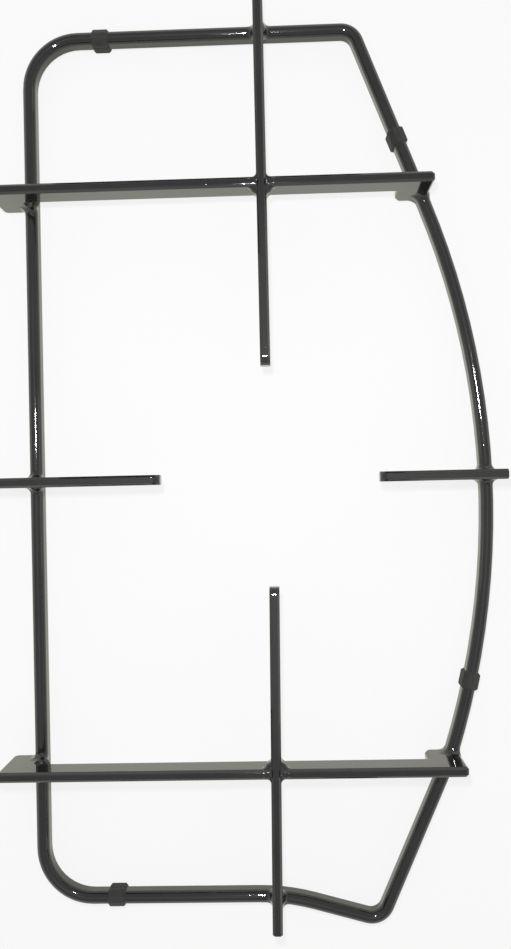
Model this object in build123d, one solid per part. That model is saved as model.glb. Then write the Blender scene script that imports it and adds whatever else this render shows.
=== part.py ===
from build123d import *
from math import acos, atan2, cos, radians, sin, sqrt, tan
import os

# Pan support for the large burner of a gas hob, in millimetres.
# While it is drawn, X = Y = 0 is the burner's axis, +Y is the rear of the hob and Z = 0 is the hob's surface.

# Heights above the hob
top_height = 36.0
rod_height = 8.0
leg_clearance = 2.5

# Ring: one rod with a domed top and upright flanks, bent and butt welded, with its front slope in degrees
rod_width = 6.5
rod_depth = 10.0
rod_bevel = 1.5
ring_width = 233.2
left_run = 122.0
rear_run = 232.0
front_run = 215.4
rear_corner_inset = 63.4
front_corner_inset = 59.0
front_step_x = 4.0
front_slope = 15.205
arc_radius = 423.0
arc_crest_y = -11.5
left_bend_radius = 26.0
right_bend_radius = 9.0
step_bend_radius = 110.0
arc_end_bend_radius = 40.0

# Strips on edge: cross bars and fingers
strip_thickness = 5.0
strip_depth = 16.5
rear_bar = 146.1
front_bar = 145.8
tip_radius = 54.4
rear_tip_radius = 55.3
left_overhang = 16.5
long_finger_overhang = 9.0
rear_bar_overhang = 4.0
front_bar_overhang = 4.8
right_finger_overhang = 5.8
inner_leg_width = 12.5

# Places of the fingers as they were welded, from the burner's axis, and the front one's turn in degrees
rear_finger_x = -0.9
front_finger_x = 0.0
front_finger_turn = 0.7
left_finger_y = -0.2
right_finger_y = -1.0

# Bevels and roundings of the strips
edge_bevel = 1.2
tip_depth = 8.0
tip_taper = 10.0
tip_round = 5.5
leg_round = 3.5
end_round = 2.0
sharp = 0.0
lap_clearance = 0.1

# Rubber feet: moulded blocks split on their inner side
foot_length = 9.2
foot_wall = 1.0
foot_top_bevel = 2.9
foot_sole_bevel = 2.4
foot_end_bevel = 1.0
foot_slit = 0.8
left_feet_x = -84.0
rear_right_foot_y = 175.0
front_right_foot_y = -106.5

# Values that follow from the sizes above
strip_bottom = top_height - strip_depth
lap_height = top_height - strip_depth / 2
lug_height = rod_height + rod_depth / 4
arc_crest_x = ring_width - left_run
arc_centre = Vector(arc_crest_x - arc_radius, arc_crest_y)
rear_corner = Vector(arc_crest_x - rear_corner_inset, rear_run)
front_step = Vector(front_step_x, -front_run)
front_corner_x = arc_crest_x - front_corner_inset
front_drop = (front_corner_x - front_step.X) * tan(radians(front_slope))
front_corner = Vector(front_corner_x, front_step.Y - front_drop)


def on_arc(y):
    """Point of the ring's right-hand arc at the given Y."""
    return Vector(arc_centre.X + sqrt(arc_radius**2 - (y - arc_centre.Y) ** 2), y)


def arc_tangent_point(corner):
    """Point where a straight run from the rear corner meets the arc without a kink."""
    reach = corner - arc_centre
    angle = atan2(reach.Y, reach.X) - acos(arc_radius / reach.length)
    return arc_centre + arc_radius * Vector(cos(angle), sin(angle))


arc_start = arc_tangent_point(rear_corner)
arc_end = on_arc(-front_bar)


def right_side_x(y):
    """X of the rod's centre line on the right-hand side of the ring."""
    if y > arc_start.Y:
        share = (y - arc_start.Y) / (rear_corner.Y - arc_start.Y)
        return arc_start.X + share * (rear_corner.X - arc_start.X)
    return on_arc(y).X


def right_side_direction(y):
    """Direction of the rod, towards the rear, on the right-hand side of the ring."""
    reach = foot_length / 2
    return Vector(right_side_x(y + reach) - right_side_x(y - reach), 2 * reach).normalized()


# Ring
def ring_path():
    """Centre line of the ring, at Z = 0."""
    rear_left = Vector(-left_run, rear_run)
    front_left = Vector(-left_run, -front_run)
    outline = make_face(
        [
            Line(rear_left, rear_corner),
            Line(rear_corner, arc_start),
            ThreePointArc(arc_start, on_arc(arc_crest_y), arc_end),
            Line(arc_end, front_corner),
            Line(front_corner, front_step),
            Line(front_step, front_left),
            Line(front_left, rear_left),
        ]
    )
    bends = [
        (rear_left, left_bend_radius),
        (front_left, left_bend_radius),
        (rear_corner, right_bend_radius),
        (front_corner, right_bend_radius),
        (front_step, step_bend_radius),
        (arc_end, arc_end_bend_radius),
    ]
    for corner, radius in bends:
        outline = fillet(outline.vertices().sort_by_distance(corner)[0], radius)
    return outline.face().outer_wire()


def rod_section():
    """Section of the rod about its centre, with +X up: a domed top, flat flanks and bevelled lower edges."""
    dome_radius = rod_width / 2
    dome = Pos(rod_depth / 2 - dome_radius, 0) * Circle(dome_radius)
    web = Pos(-rod_depth / 2, 0) * Rectangle(
        rod_depth - dome_radius, rod_width, align=(Align.MIN, Align.CENTER)
    )
    web = chamfer(web.vertices().group_by(Axis.X)[0], rod_bevel)
    return dome + web


path = Pos(0, 0, rod_height) * ring_path()
across_path = Plane(origin=path @ 0, x_dir=(0, 0, 1), z_dir=path % 0)
ring_rod = sweep(across_path * rod_section(), path=path)


# Strips
def strip(corners):
    """Strip on edge in the XZ plane, from its outline as (x, z, rounding), with bevelled edges."""
    points = [(x, z) for x, z, rounding in corners]
    roundings = [rounding for x, z, rounding in corners]
    outline = make_face(Plane.XZ * FilletPolyline(*points, radius=roundings, close=True))
    blank = extrude(outline, strip_thickness / 2, both=True)
    sides = blank.faces().filter_by(Axis.Y)
    return chamfer(sides.edges(), edge_bevel)


def leg_corners(inner, outer, inner_rounding, outer_rounding):
    """Lower outline of a leg that stands on the hob side of a strip, from its inner to its outer edge."""
    return [
        (inner, strip_bottom, sharp),
        (inner, leg_clearance, inner_rounding),
        (outer, leg_clearance, outer_rounding),
    ]


def end_corners(rod, end):
    """Outline of a strip that ends on the rod, with its leg inside it and a lug on its outer flank."""
    return leg_corners(rod - inner_leg_width, rod, leg_round, sharp) + [
        (rod, lug_height, sharp),
        (end, lug_height, sharp),
        (end, top_height, end_round),
    ]


def overhang_corners(rod, end):
    """Outline of a strip that passes over the rod, with its leg on the outer side of the rod."""
    return leg_corners(rod, end, sharp, leg_round) + [(end, top_height, end_round)]


def mirrored(corners):
    """The same outline turned end for end."""
    return [(-x, z, rounding) for x, z, rounding in reversed(corners)]


def cross_bar(y, right_overhang, finger_x):
    """Cross bar with a leg outside the left run and a leg inside the right side, open on top for a finger."""
    rod = right_side_x(y)
    left = mirrored(overhang_corners(left_run, left_run + left_overhang))
    right = end_corners(rod, rod + right_overhang)
    slot_width = strip_thickness + 2 * lap_clearance
    slot = Pos(finger_x, 0, lap_height) * Box(
        slot_width, strip_thickness, strip_depth, align=(Align.CENTER, Align.CENTER, Align.MIN)
    )
    return Pos(0, y, 0) * (strip(left + right) - slot) - ring_rod


def finger(tip, end, outer_corners):
    """Finger that runs outwards along +X from its tip, tapered underneath, with both ends cut square."""
    nose = tip - edge_bevel
    outline = [
        (nose, top_height, tip_round),
        (nose, top_height - tip_depth, end_round),
        (tip + tip_taper, strip_bottom, sharp),
    ]
    kept = Pos(tip, 0, 0) * Box(
        end - tip, strip_thickness, top_height, align=(Align.MIN, Align.CENTER, Align.MIN)
    )
    return strip(outline + outer_corners) & kept


def overhanging_finger(tip, rod, overhang):
    """Finger that passes over the rod."""
    end = rod + overhang
    return finger(tip, end, overhang_corners(rod, end + edge_bevel))


def long_finger(tip, rod, bar):
    """Finger that passes over the rod and a cross bar and is open underneath where it crosses the bar."""
    slot_width = strip_thickness + 2 * lap_clearance
    slot = Pos(bar, 0, lap_height) * Box(
        slot_width, strip_thickness, strip_depth, align=(Align.CENTER, Align.CENTER, Align.MAX)
    )
    return overhanging_finger(tip, rod, long_finger_overhang) - slot


def ending_finger(tip, rod, overhang):
    """Finger that ends on the rod."""
    end = rod + overhang
    return finger(tip, end, end_corners(rod, end + edge_bevel))


rear_blank = Rot(0, 0, 90) * long_finger(rear_tip_radius, rear_run, rear_bar)
rear_long_finger = Pos(rear_finger_x, 0, 0) * rear_blank - ring_rod
front_blank = Rot(0, 0, -90) * long_finger(tip_radius, front_run, front_bar)
front_crossing = Pos(front_finger_x, -front_bar, 0) * Rot(0, 0, -front_finger_turn) * Pos(0, front_bar, 0)
front_long_finger = front_crossing * front_blank - ring_rod
left_blank = Rot(0, 0, 180) * overhanging_finger(tip_radius, left_run, left_overhang)
left_finger = Pos(0, left_finger_y, 0) * left_blank - ring_rod
right_blank = ending_finger(tip_radius, right_side_x(right_finger_y), right_finger_overhang)
right_finger = Pos(0, right_finger_y, 0) * right_blank - ring_rod


# Rubber feet
def foot(x, y, along):
    """Rubber block on the rod, which runs along a direction, with a flat sole and a slit on the inside."""
    half_width = rod_width / 2 + foot_wall
    foot_height = rod_height + rod_depth / 2 + foot_wall
    outline = Rectangle(2 * half_width, foot_height, align=(Align.CENTER, Align.MIN))
    outline = chamfer(outline.vertices().group_by(Axis.Y)[0], foot_sole_bevel)
    outline = chamfer(outline.vertices().group_by(Axis.Y)[-1], foot_top_bevel)
    block = extrude(outline, foot_length / 2, both=True)
    block = chamfer(block.faces().filter_by(Axis.Z).edges(), foot_end_bevel)
    slit = Pos(0, rod_height, 0) * Box(
        half_width, foot_slit, foot_length, align=(Align.MIN, Align.CENTER, Align.CENTER)
    )
    inwards = Vector(0, 0, 1).cross(along)
    across = Plane(origin=(x, y, 0), x_dir=inwards, z_dir=along)
    return across * (block - slit) - ring_rod


def right_foot(y):
    """Foot on the right-hand side of the ring."""
    return foot(right_side_x(y), y, right_side_direction(y))


pieces = {
    "ring_rod": ring_rod,
    "rear_cross_bar": cross_bar(rear_bar, rear_bar_overhang, rear_finger_x),
    "front_cross_bar": cross_bar(-front_bar, front_bar_overhang, front_finger_x),
    "rear_long_finger": rear_long_finger,
    "front_long_finger": front_long_finger,
    "left_finger": left_finger,
    "right_finger": right_finger,
    "foot_rear_left": foot(left_feet_x, rear_run, Vector(-1, 0)),
    "foot_front_left": foot(left_feet_x, -front_run, Vector(1, 0)),
    "foot_rear_right": right_foot(rear_right_foot_y),
    "foot_front_right": right_foot(front_right_foot_y),
}

# The finished part's origin is under the middle of its box, on the hob's surface.
box = Compound(list(pieces.values())).bounding_box()
to_origin = Pos(-box.center().X, -box.center().Y, -box.min.Z)

os.makedirs("parts", exist_ok=True)
for name, piece in pieces.items():
    export_step(to_origin * piece, f"parts/{name}.step")
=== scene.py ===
import math
from functools import cache

import bpy
import numpy as np
from mathutils import Matrix, Vector
from mathutils.bvhtree import BVHTree


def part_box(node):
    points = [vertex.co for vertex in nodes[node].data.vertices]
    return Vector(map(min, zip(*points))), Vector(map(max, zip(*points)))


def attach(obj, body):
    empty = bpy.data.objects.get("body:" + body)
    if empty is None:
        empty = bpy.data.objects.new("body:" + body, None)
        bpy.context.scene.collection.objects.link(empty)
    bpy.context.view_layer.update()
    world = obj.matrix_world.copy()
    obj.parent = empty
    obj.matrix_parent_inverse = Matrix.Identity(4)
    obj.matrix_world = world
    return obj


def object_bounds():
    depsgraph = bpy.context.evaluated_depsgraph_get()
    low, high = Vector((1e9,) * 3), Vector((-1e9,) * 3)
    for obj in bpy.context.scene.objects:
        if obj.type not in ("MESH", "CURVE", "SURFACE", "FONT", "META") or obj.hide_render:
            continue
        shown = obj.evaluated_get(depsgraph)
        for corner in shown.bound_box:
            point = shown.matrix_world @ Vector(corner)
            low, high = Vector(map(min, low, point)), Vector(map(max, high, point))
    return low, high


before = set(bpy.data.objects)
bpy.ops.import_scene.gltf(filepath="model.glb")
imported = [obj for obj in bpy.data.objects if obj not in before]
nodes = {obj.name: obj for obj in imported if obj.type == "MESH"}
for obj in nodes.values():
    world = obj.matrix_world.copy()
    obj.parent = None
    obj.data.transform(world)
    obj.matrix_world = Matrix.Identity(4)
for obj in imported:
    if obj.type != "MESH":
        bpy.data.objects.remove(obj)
cad_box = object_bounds()
MM = 0.001

# Nodes
STRIPS = (
    "rear_cross_bar",
    "front_cross_bar",
    "rear_long_finger",
    "front_long_finger",
    "left_finger",
    "right_finger",
)
FEET = ("foot_rear_left", "foot_front_left", "foot_rear_right", "foot_front_right")

# Crossings: bar, long finger, way along Y to the burner, height of the drops of glaze beside the crossing
CROSSINGS = (
    ("rear_cross_bar", "rear_long_finger", -1, 0.31 * MM),
    ("front_cross_bar", "front_long_finger", 1, 0.51 * MM),
)

# Places of a finger and a bar, measured from the burner
REAR_FINGER_ASIDE = -0.9 * MM
FRONT_BAR_AWAY = 145.8 * MM

WHITE = (1.0, 1.0, 1.0, 1.0)

# Enamel: colours, and the levels of the grain that count as specks
ENAMEL_SHADES = (
    (0.30, (0.0050, 0.0060, 0.0052, 1.0)),
    (0.55, (0.0085, 0.0098, 0.0088, 1.0)),
    (0.75, (0.0120, 0.0130, 0.0112, 1.0)),
)
SPECK_LEVELS = ((0.62, 0.0), (0.80, 1.0))
ENAMEL_SPECK = (0.020, 0.021, 0.019, 1.0)
ENAMEL_WORN = (0.034, 0.035, 0.032, 1.0)
ENAMEL_FADED = (0.022, 0.021, 0.018, 1.0)
ENAMEL_IOR = 1.52

# Enamel: fading from the heat, none beyond one distance from the burner and full within the other
HEAT_END = 140 * MM
HEAT_FULL = 80 * MM
HEAT_SHARE = 0.55

# Enamel: relief
ENAMEL_WORN_EDGE = 0.8 * MM
ENAMEL_ROUNDING = 0.7 * MM
WAVE_HEIGHT = 0.3 * MM
WAVE_STRENGTH = 0.08
PIT_LEVELS = ((0.0, 0.0), (0.09, 0.0), (0.16, 1.0))
PIT_DEPTH = 0.12 * MM
PIT_STRENGTH = 0.12
GLAZE_DROP_RADIUS = 2.0 * MM
GLAZE_DROP_ASIDE = 6.1 * MM

# Rubber
RUBBER_SHADES = (
    (0.30, (0.015, 0.015, 0.015, 1.0)),
    (0.70, (0.026, 0.026, 0.025, 1.0)),
)
RUBBER_SCUFF = (0.075, 0.074, 0.072, 1.0)
RUBBER_IOR = 1.5
RUBBER_SCUFF_EDGE = 0.6 * MM
RUBBER_GRAIN_HEIGHT = 0.08 * MM
RUBBER_GRAIN_STRENGTH = 0.35

# Edges: the cosine between the true and the rounded normal where a surface counts as flat, and as an edge
FLAT_COSINE = 0.995
EDGE_COSINE = 0.80
BEVEL_SAMPLES = 6

# Weld beads: step of the grid, how far the skin is sunk, depth inside the pieces, share of the blend's width
# that is kept, and heights and lengths of the ripples
BEAD_STEP = 0.36 * MM
BEAD_SUNK = 0.03 * MM
BEAD_DEPTH = 0.8 * MM
BEAD_SHARE = 0.97
RIPPLE_BROAD = 0.12
RIPPLE_FINE = 0.08
RIPPLE_X = 1.7 * MM
RIPPLE_Y = 2.1 * MM
RIPPLE_Z = 1.3 * MM
RIPPLE_SKEW = 2.9 * MM
RIPPLE_START = 1.3

# Nearest faces: distances that count as the same, and the share of a gap at which a face lies straight below
SAME_DISTANCE = 0.0001 * MM
FACING_SHARE = 0.99

# Weld beads on the rod
ROD_WIDTH = 6.5 * MM
ROD_REACH = (10 * MM, 10 * MM, 10 * MM)
ROD_BLEND = 3.8 * MM
OVER_RAISE = 2 * MM
END_RAISE = 1 * MM
ROD_DROP_IN = 2.4 * MM
ROD_DROP_Z = 14.6 * MM
ROD_DROP_RADIUS = 3.4 * MM
RIGHT_OVERHANG = {"rear_cross_bar": 4.0 * MM, "front_cross_bar": 4.8 * MM, "right_finger": 5.8 * MM}
FRONT_OVERHANG = 9.0 * MM
FRONT_LEAN = -1.0 * MM

# Weld beads at the crossings: side of the bar, 1 towards the burner or -1 away from it, radii of the drops
# of weld metal
CROSSING_SIDES = (("inner", 1, (1.4 * MM,)), ("outer", -1, ()))
CROSSING_REACH = (9 * MM, 5.2 * MM, 9 * MM)
CROSSING_BLEND = 3.0 * MM
CROSSING_ASIDE = 4.6 * MM
CROSSING_DOWN = 8 * MM
CROSSING_DROP_ASIDE = 3.4 * MM
CROSSING_DROP_DOWN = 3.0 * MM
CROSSING_TOP_DOWN = 0.6 * MM
CROSSING_TOP_SOFT = 0.9 * MM

# Studio: half width of the floor in metres, shares of its own glow, and strengths of the light around
FLOOR_HALF = 40.0
FLOOR_SHADES = ((0.3, 0.84), (0.7, 0.86))
FLOOR_MIRRORED = (1.2, 1.2, 0.98, 1.0)
FLOOR_GLOW_SEEN = 0.82
FLOOR_GLOW_MIRRORED = 0.50
WALL_SHADES = ((0.0, 1.0), (0.20, 1.0), (0.45, 0.42), (0.95, 0.42), (1.0, 0.70))
LIGHT_SOFT = 0.45
LIGHT_MIRRORED = 1.75
LIGHT_SEEN = 0.89

# Camera: almost straight above the burner, with turns in degrees and sensor and lens in millimetres
CAMERA_FROM_BURNER = Vector((6.92, -5.15, 502.33)) * MM
CAMERA_TURNS = (("Z", -1.29), ("X", 0.759), ("Y", 1.711))
CAMERA_SENSOR = 36.0
CAMERA_LENS = 36.04
CAMERA_NEAR = 10 * MM

# Flash beside the camera
FLASH_FROM_CAMERA = Vector((-21 * MM, 67 * MM, 10 * MM))
FLASH_SIZE = (26 * MM, 40 * MM)
FLASH_POWER = 1.6


def middle(name):
    """Middle of a node's box."""
    low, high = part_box(name)
    return (Vector(low) + Vector(high)) / 2


def new_object(name, verts, faces):
    """Mesh object in the scene."""
    mesh = bpy.data.meshes.new(name)
    mesh.from_pydata(verts, [], faces)
    obj = bpy.data.objects.new(name, mesh)
    bpy.context.scene.collection.objects.link(obj)
    return obj


# Foot of the burner's axis
burner_x = middle("rear_long_finger").x - REAR_FINGER_ASIDE
burner_y = middle("front_cross_bar").y + FRONT_BAR_AWAY
burner = Vector((burner_x, burner_y, 0))


# Shader nodes
def empty_material(name):
    """Node material that has only its output."""
    material = bpy.data.materials.new(name)
    material.use_nodes = True
    tree = material.node_tree
    tree.nodes.clear()
    out = tree.nodes.new("ShaderNodeOutputMaterial")
    return material, tree, out


def fill(tree, socket, value):
    """Link a socket to another node's output, or set its constant value."""
    if isinstance(value, bpy.types.NodeSocket):
        tree.links.new(value, socket)
    else:
        socket.default_value = value


def add(tree, kind, values=None, **settings):
    """Node with its settings, and values or links for its inputs."""
    node = tree.nodes.new(kind)
    for key, value in settings.items():
        setattr(node, key, value)
    for key, value in (values or {}).items():
        fill(tree, node.inputs[key], value)
    return node


def ramp(tree, factor, stops):
    """Colour ramp from a list of (position, colour)."""
    node = add(tree, "ShaderNodeValToRGB", {"Fac": factor})
    line = node.color_ramp
    while len(line.elements) < len(stops):
        line.elements.new(0.5)
    for element, (position, colour) in zip(line.elements, stops):
        element.position = position
        element.color = colour
    return node.outputs["Color"]


def grey_ramp(tree, factor, stops):
    """Ramp of greys from a list of (position, brightness)."""
    return ramp(tree, factor, [(position, (value, value, value, 1.0)) for position, value in stops])


def mix_colour(tree, factor, first, second):
    """Blend of two colours."""
    node = add(tree, "ShaderNodeMix", data_type="RGBA")
    colour_inputs = [s for s in node.inputs if s.type == "RGBA"]
    factor_input = [s for s in node.inputs if s.name == "Factor" and s.type == "VALUE"][0]
    fill(tree, factor_input, factor)
    fill(tree, colour_inputs[0], first)
    fill(tree, colour_inputs[1], second)
    return [s for s in node.outputs if s.type == "RGBA"][0]


def mix_shader(tree, factor, first, second):
    """Blend of two shaders."""
    return add(tree, "ShaderNodeMixShader", {0: factor, 1: first, 2: second}).outputs["Shader"]


def noise(tree, place, scale, detail, roughness=0.5):
    """Cloudy noise whose scale is a number of features in a metre."""
    values = {"Vector": place, "Scale": scale, "Detail": detail, "Roughness": roughness}
    return add(tree, "ShaderNodeTexNoise", values).outputs["Fac"]


def calculate(tree, operation, first, second):
    """Result of arithmetic on two values."""
    return add(tree, "ShaderNodeMath", {0: first, 1: second}, operation=operation).outputs["Value"]


def map_range(tree, value, start, end, low, high, kind="LINEAR"):
    """Value carried from the range of start to end into the range of low to high."""
    values = {"Value": value, "From Min": start, "From Max": end, "To Min": low, "To Max": high}
    return add(tree, "ShaderNodeMapRange", values, interpolation_type=kind).outputs["Result"]


def distance_to(tree, place, spot):
    """Distance from the shaded place to a spot."""
    return add(tree, "ShaderNodeVectorMath", {0: place, 1: spot}, operation="DISTANCE").outputs["Value"]


def rounded_normal(tree, radius):
    """Normal as if edges were rounded by a radius."""
    return add(tree, "ShaderNodeBevel", {"Radius": radius}, samples=BEVEL_SAMPLES).outputs["Normal"]


def edge_mask(tree, radius):
    """0 on flat and smooth surfaces and up to 1 along edges."""
    rounded = rounded_normal(tree, radius)
    true = add(tree, "ShaderNodeNewGeometry").outputs["True Normal"]
    product = add(tree, "ShaderNodeVectorMath", {0: rounded, 1: true}, operation="DOT_PRODUCT")
    return map_range(tree, product.outputs["Value"], FLAT_COSINE, EDGE_COSINE, 0.0, 1.0)


def bump(tree, height, strength, distance, normal=None):
    """Normal turned by a relief."""
    values = {"Strength": strength, "Distance": distance, "Height": height}
    if normal is not None:
        values["Normal"] = normal
    return add(tree, "ShaderNodeBump", values).outputs["Normal"]


def principled(tree, out, colour, rough, normal, ior):
    """Principled shader, linked to the material's output."""
    values = {"Base Color": colour, "Roughness": rough, "Normal": normal, "IOR": ior}
    shader = add(tree, "ShaderNodeBsdfPrincipled", values)
    tree.links.new(shader.outputs["BSDF"], out.inputs["Surface"])


# Materials
def glaze_drops(tree, place):
    """Height of the drops of glaze that stand on a bar at both sides of each crossing."""
    total = None
    for bar, finger, _, height in CROSSINGS:
        for hand in (-1, 1):
            spot = (middle(finger).x + hand * GLAZE_DROP_ASIDE, middle(bar).y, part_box(bar)[1][2])
            away = distance_to(tree, place, spot)
            rise = map_range(tree, away, GLAZE_DROP_RADIUS, 0.0, 0.0, height, kind="SMOOTHSTEP")
            total = rise if total is None else calculate(tree, "ADD", total, rise)
    return total


def enamel_material():
    """Black vitreous enamel: glassy, faintly wavy, pitted, greyer along edges and faded near the burner."""
    material, tree, out = empty_material("enamel_black")
    place = add(tree, "ShaderNodeTexCoord").outputs["Object"]
    clouds = noise(tree, place, scale=45.0, detail=4.0)
    grain = noise(tree, place, scale=900.0, detail=2.0)
    waves = noise(tree, place, scale=120.0, detail=2.0, roughness=0.4)
    cell_values = {"Vector": place, "Scale": 300.0, "Randomness": 1.0}
    cells = add(tree, "ShaderNodeTexVoronoi", cell_values, feature="F1").outputs["Distance"]
    pits = grey_ramp(tree, cells, PIT_LEVELS)

    colour = ramp(tree, clouds, ENAMEL_SHADES)
    specks = grey_ramp(tree, grain, SPECK_LEVELS)
    colour = mix_colour(tree, specks, colour, ENAMEL_SPECK)
    worn = calculate(tree, "MULTIPLY", edge_mask(tree, ENAMEL_WORN_EDGE), clouds)
    colour = mix_colour(tree, worn, colour, ENAMEL_WORN)
    away = distance_to(tree, place, burner)
    heat = map_range(tree, away, HEAT_END, HEAT_FULL, 0.0, HEAT_SHARE)
    colour = mix_colour(tree, heat, colour, ENAMEL_FADED)

    rough = map_range(tree, clouds, start=0.25, end=0.75, low=0.04, high=0.08)
    normal = rounded_normal(tree, ENAMEL_ROUNDING)
    normal = bump(tree, waves, WAVE_STRENGTH, WAVE_HEIGHT, normal)
    normal = bump(tree, pits, PIT_STRENGTH, PIT_DEPTH, normal)
    normal = bump(tree, glaze_drops(tree, place), strength=1.0, distance=1.0, normal=normal)
    principled(tree, out, colour, rough, normal, ENAMEL_IOR)
    return material


def rubber_material():
    """Matt moulded rubber with a fine grain and pale scuffs on its edges."""
    material, tree, out = empty_material("rubber_black")
    place = add(tree, "ShaderNodeTexCoord").outputs["Object"]
    clouds = noise(tree, place, scale=160.0, detail=4.0)
    grain = noise(tree, place, scale=2600.0, detail=2.0)
    colour = ramp(tree, clouds, RUBBER_SHADES)
    scuffs = calculate(tree, "MULTIPLY", edge_mask(tree, RUBBER_SCUFF_EDGE), clouds)
    colour = mix_colour(tree, scuffs, colour, RUBBER_SCUFF)
    rough = map_range(tree, grain, start=0.3, end=0.7, low=0.62, high=0.86)
    normal = bump(tree, grain, RUBBER_GRAIN_STRENGTH, RUBBER_GRAIN_HEIGHT)
    principled(tree, out, colour, rough, normal, RUBBER_IOR)
    return material


def floor_material():
    """White paper that glows in part for the camera and, a little yellow, in the enamel's gloss."""
    material, tree, out = empty_material("floor_white")
    place = add(tree, "ShaderNodeTexCoord").outputs["Object"]
    paper = noise(tree, place, scale=300.0, detail=3.0)
    paper_colour = grey_ramp(tree, paper, FLOOR_SHADES)
    diffuse = add(tree, "ShaderNodeBsdfDiffuse", {"Color": paper_colour}).outputs["BSDF"]
    rays = add(tree, "ShaderNodeLightPath").outputs
    glow_colour = mix_colour(tree, rays["Is Glossy Ray"], WHITE, FLOOR_MIRRORED)
    glow = add(tree, "ShaderNodeEmission", {"Color": glow_colour, "Strength": 1.0}).outputs["Emission"]
    seen = calculate(tree, "MULTIPLY", rays["Is Camera Ray"], FLOOR_GLOW_SEEN)
    mirrored = calculate(tree, "MULTIPLY", rays["Is Glossy Ray"], FLOOR_GLOW_MIRRORED)
    share = calculate(tree, "MAXIMUM", seen, mirrored)
    tree.links.new(mix_shader(tree, share, diffuse, glow), out.inputs["Surface"])
    return material


def dress(obj, material):
    """Give an object one material in all its slots."""
    for index in range(max(1, len(obj.material_slots))):
        if index < len(obj.material_slots):
            obj.material_slots[index].material = material
        else:
            obj.data.materials.append(material)


enamel = enamel_material()
rubber = rubber_material()


# Weld beads: smooth blends of two solids where they meet
@cache
def search_tree(name):
    """Tree that finds the faces of a node near a point, made once for each node."""
    mesh = nodes[name].data
    return BVHTree.FromPolygons([v.co for v in mesh.vertices], [p.vertices for p in mesh.polygons])


def distance_field(name, points):
    """Signed distance from each point to a node, below 0 inside it.

    Where several faces are equally near, the sign comes from the one that faces the point most.
    """
    tree = search_tree(name)
    values = np.empty(len(points))
    for i, p in enumerate(points):
        p = Vector(p)
        place, normal, _, gap = tree.find_nearest(p)
        side = (p - place).dot(normal)
        if abs(side) < FACING_SHARE * gap:
            for place, normal, _, _ in tree.find_nearest_range(p, gap + SAME_DISTANCE):
                lean = (p - place).dot(normal)
                if abs(lean) > abs(side):
                    side = lean
        values[i] = gap if side >= 0.0 else -gap
    return values


def surface_net(values, low, step):
    """Quad mesh of the zero level of a grid of values, one vertex per crossed cell."""
    corners = [(i, j, k) for i in (0, 1) for j in (0, 1) for k in (0, 1)]
    shape = np.array(values.shape) - 1
    at_corner = {}
    for corner in corners:
        at_corner[corner] = values[tuple(slice(c, c + n) for c, n in zip(corner, shape))]
    total = np.zeros((*shape, 3))
    count = np.zeros(shape)
    for first in corners:
        for axis in range(3):
            if first[axis] == 1:
                continue
            second = tuple(1 if n == axis else first[n] for n in range(3))
            a, b = at_corner[first], at_corner[second]
            crossed = (a < 0) != (b < 0)
            share = np.where(crossed, a / np.where(crossed, a - b, 1.0), 0.0)
            for n in range(3):
                along = share if n == axis else float(first[n])
                total[..., n] += np.where(crossed, along, 0.0)
            count += crossed
    used = count > 0
    number = -np.ones(shape, dtype=int)
    number[used] = np.arange(used.sum())
    cells = np.argwhere(used)
    verts = low + (cells + total[used] / count[used][:, None]) * step

    faces = []
    for axis in range(3):
        u, v = (axis + 1) % 3, (axis + 2) % 3
        ahead = np.roll(values, -1, axis)
        crossed = (values < 0) != (ahead < 0)
        for cell in np.argwhere(crossed):
            within = 1 <= cell[u] < shape[u] and 1 <= cell[v] < shape[v]
            if cell[axis] >= shape[axis] or not within:
                continue
            ring = []
            for du, dv in ((-1, -1), (0, -1), (0, 0), (-1, 0)):
                neighbour = list(cell)
                neighbour[u] += du
                neighbour[v] += dv
                ring.append(int(number[tuple(neighbour)]))
            if values[tuple(cell)] >= 0:
                ring.reverse()
            faces.append(ring)
    return verts, faces


def fillet(a, b, blend):
    """How far a rounded fillet moves the surface between two distance fields."""
    share = np.clip(blend - np.abs(a - b), 0.0, None) / blend
    return share * share * blend / 4


def ripple(points):
    """Factor about 1 that makes the height of a bead uneven."""
    x, y, z = points.T
    broad = RIPPLE_BROAD * np.sin(x / RIPPLE_X + RIPPLE_START) * np.sin(y / RIPPLE_Y)
    fine = RIPPLE_FINE * np.sin(z / RIPPLE_Z + x / RIPPLE_SKEW)
    return 1.0 + broad + fine


def bead_field(points, first, second, blend, top, drops, half):
    """Values that are below 0 inside a bead: just under its skin, near both nodes and inside the CAD box."""
    a = distance_field(first, points)
    b = distance_field(second, points)
    nearest = np.minimum(a, b)
    skin = nearest - fillet(a, b, blend) * ripple(points) + BEAD_SUNK
    apart = np.abs(a - b) - BEAD_SHARE * blend
    for drop_centre, radius in drops:
        drop = np.linalg.norm(points - np.array(drop_centre), axis=1) - radius
        skin = np.minimum(skin, drop) - fillet(skin, drop, blend)
        apart = np.minimum(apart, drop - blend)
    if top is not None:
        level, soft = top
        over = points[:, 2] - level
        skin = np.maximum(skin, over) + fillet(skin, over, soft)
    box_low, box_high = np.array(cad_box[0]), np.array(cad_box[1])
    outside_box = np.abs(points - (box_low + box_high) / 2) - (box_high - box_low) / 2
    field = np.maximum.reduce([skin, *outside_box.T, -(nearest + BEAD_DEPTH), apart])
    if half is not None:
        wall, way = half
        field = np.maximum(field, way * (wall - points[:, 1]))
    return field


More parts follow.
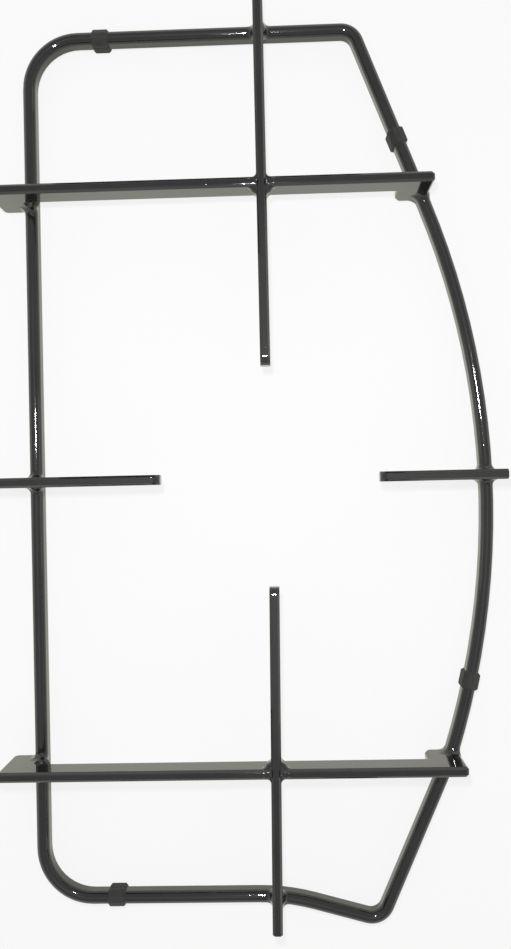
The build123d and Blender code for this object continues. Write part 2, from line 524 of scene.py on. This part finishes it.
def bead(name, first, second, centre, reach, blend, top=None, drops=(), half=None):
    """Enamelled weld bead between two nodes, inside a box of half sizes reach about a centre.

    The bead rounds off below a top given as (level, softness), takes in drops of weld metal given as
    (centre, radius), and stays on one side of a wall across Y given as (y, direction).
    """
    low = np.array(centre) - np.array(reach)
    size = tuple(np.ceil(2 * np.array(reach) / BEAD_STEP).astype(int) + 1)
    grid = np.stack(np.meshgrid(*[np.arange(n) for n in size], indexing="ij"), -1)
    points = low + grid.reshape(-1, 3) * BEAD_STEP
    field = bead_field(points, first, second, blend, top, drops, half).reshape(size)
    inside = np.zeros(size, dtype=bool)
    inside[1:-1, 1:-1, 1:-1] = True
    closed = np.where(inside, field, np.maximum(field, SAME_DISTANCE))
    verts, faces = surface_net(closed, low, BEAD_STEP)
    obj = new_object(name, [tuple(v) for v in verts], faces)
    obj.data.update()
    obj.data.polygons.foreach_set("use_smooth", [True] * len(obj.data.polygons))
    obj.data.materials.append(enamel)
    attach(obj, "root")


# Joints where a strip passes over the rod, each with the way to the inside of the ring
ring_low, ring_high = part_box("ring_rod")
rod_z = (ring_high[2] + ring_low[2]) / 2
left_x = ring_low[0] + ROD_WIDTH / 2
rear_y = ring_high[1] - ROD_WIDTH / 2
front_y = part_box("front_long_finger")[0][1] + FRONT_OVERHANG
front_x = middle("front_long_finger").x + FRONT_LEAN
over_joints = [
    ("rear_cross_bar", left_x, middle("rear_cross_bar").y, (1, 0)),
    ("front_cross_bar", left_x, middle("front_cross_bar").y, (1, 0)),
    ("left_finger", left_x, middle("left_finger").y, (1, 0)),
    ("rear_long_finger", middle("rear_long_finger").x, rear_y, (0, -1)),
    ("front_long_finger", front_x, front_y, (0, 1)),
]
for strip, x, y, (in_x, in_y) in over_joints:
    drop_centre = (x + ROD_DROP_IN * in_x, y + ROD_DROP_IN * in_y, ROD_DROP_Z)
    drops = [(drop_centre, ROD_DROP_RADIUS)]
    centre = (x, y, rod_z + OVER_RAISE)
    bead(f"weld_{strip}_over", "ring_rod", strip, centre, ROD_REACH, ROD_BLEND, drops=drops)

# Joints where a strip ends on the rod
for strip, overhang in RIGHT_OVERHANG.items():
    centre = (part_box(strip)[1][0] - overhang, middle(strip).y, rod_z + END_RAISE)
    bead(f"weld_{strip}_end", "ring_rod", strip, centre, ROD_REACH, ROD_BLEND)

# Crossings, with a bead at each side of the bar
top_z = cad_box[1][2]
crossing_top = (top_z - CROSSING_TOP_DOWN, CROSSING_TOP_SOFT)
for bar, finger, inward, _ in CROSSINGS:
    x = middle(finger).x
    y = middle(bar).y
    for side, sign, radii in CROSSING_SIDES:
        way = inward * sign
        drop_y = y + way * CROSSING_DROP_ASIDE
        drop_z = top_z - CROSSING_DROP_DOWN
        drops = []
        for hand in (-1, 1):
            for radius in radii:
                drops.append(((x + hand * CROSSING_DROP_ASIDE, drop_y, drop_z), radius))
        centre = (x, y + way * CROSSING_ASIDE, top_z - CROSSING_DOWN)
        name = f"weld_{bar}_{side}"
        bead(name, bar, finger, centre, CROSSING_REACH, CROSSING_BLEND, crossing_top, drops, (y, way))

# CAD nodes
for name in STRIPS + ("ring_rod",):
    dress(nodes[name], enamel)
for name in FEET:
    dress(nodes[name], rubber)

# Floor
floor_corners = [(x * FLOOR_HALF, y * FLOOR_HALF, 0) for x, y in ((-1, -1), (1, -1), (1, 1), (-1, 1))]
floor = new_object("floor", floor_corners, [(0, 1, 2, 3)])
floor.data.materials.append(floor_material())


# Light around: soft on the part, brighter near the horizon in its gloss, and plain to the camera
def background(tree, colour, strength):
    """Light from all round."""
    return add(tree, "ShaderNodeBackground", {"Color": colour, "Strength": strength}).outputs["Background"]


def studio_world():
    """World that differs for the camera, for gloss and for all other rays."""
    world = bpy.data.worlds.new("studio")
    world.use_nodes = True
    tree = world.node_tree
    tree.nodes.clear()
    out = tree.nodes.new("ShaderNodeOutputWorld")
    rays = add(tree, "ShaderNodeLightPath").outputs
    direction = add(tree, "ShaderNodeTexCoord").outputs["Generated"]
    height = add(tree, "ShaderNodeSeparateXYZ", {"Vector": direction}).outputs["Z"]
    walls = grey_ramp(tree, height, WALL_SHADES)
    soft = background(tree, WHITE, LIGHT_SOFT)
    mirrored = background(tree, walls, LIGHT_MIRRORED)
    seen = background(tree, WHITE, LIGHT_SEEN)
    light = mix_shader(tree, rays["Is Glossy Ray"], soft, mirrored)
    light = mix_shader(tree, rays["Is Camera Ray"], light, seen)
    tree.links.new(light, out.inputs["Surface"])
    return world


bpy.context.scene.world = studio_world()

# Camera
camera_place = burner + CAMERA_FROM_BURNER
camera_turn = Matrix.Identity(4)
for axis, degrees in CAMERA_TURNS:
    camera_turn = camera_turn @ Matrix.Rotation(math.radians(degrees), 4, axis)
camera_data = bpy.data.cameras.new("camera")
camera_data.sensor_width = CAMERA_SENSOR
camera_data.lens = CAMERA_LENS
camera_data.clip_start = CAMERA_NEAR
camera = bpy.data.objects.new("camera", camera_data)
camera.matrix_world = Matrix.Translation(camera_place) @ camera_turn
bpy.context.scene.collection.objects.link(camera)
bpy.context.scene.camera = camera

# Flash, aimed at the burner
flash_place = camera_place + FLASH_FROM_CAMERA
flash_data = bpy.data.lights.new("flash", "AREA")
flash_data.shape = "ELLIPSE"
flash_data.size, flash_data.size_y = FLASH_SIZE
flash_data.energy = FLASH_POWER
flash = bpy.data.objects.new("flash", flash_data)
flash.location = flash_place
flash.rotation_mode = "QUATERNION"
flash.rotation_quaternion = (burner - flash_place).to_track_quat("-Z", "Y")
bpy.context.scene.collection.objects.link(flash)

bpy.context.scene.view_settings.view_transform = "Standard"
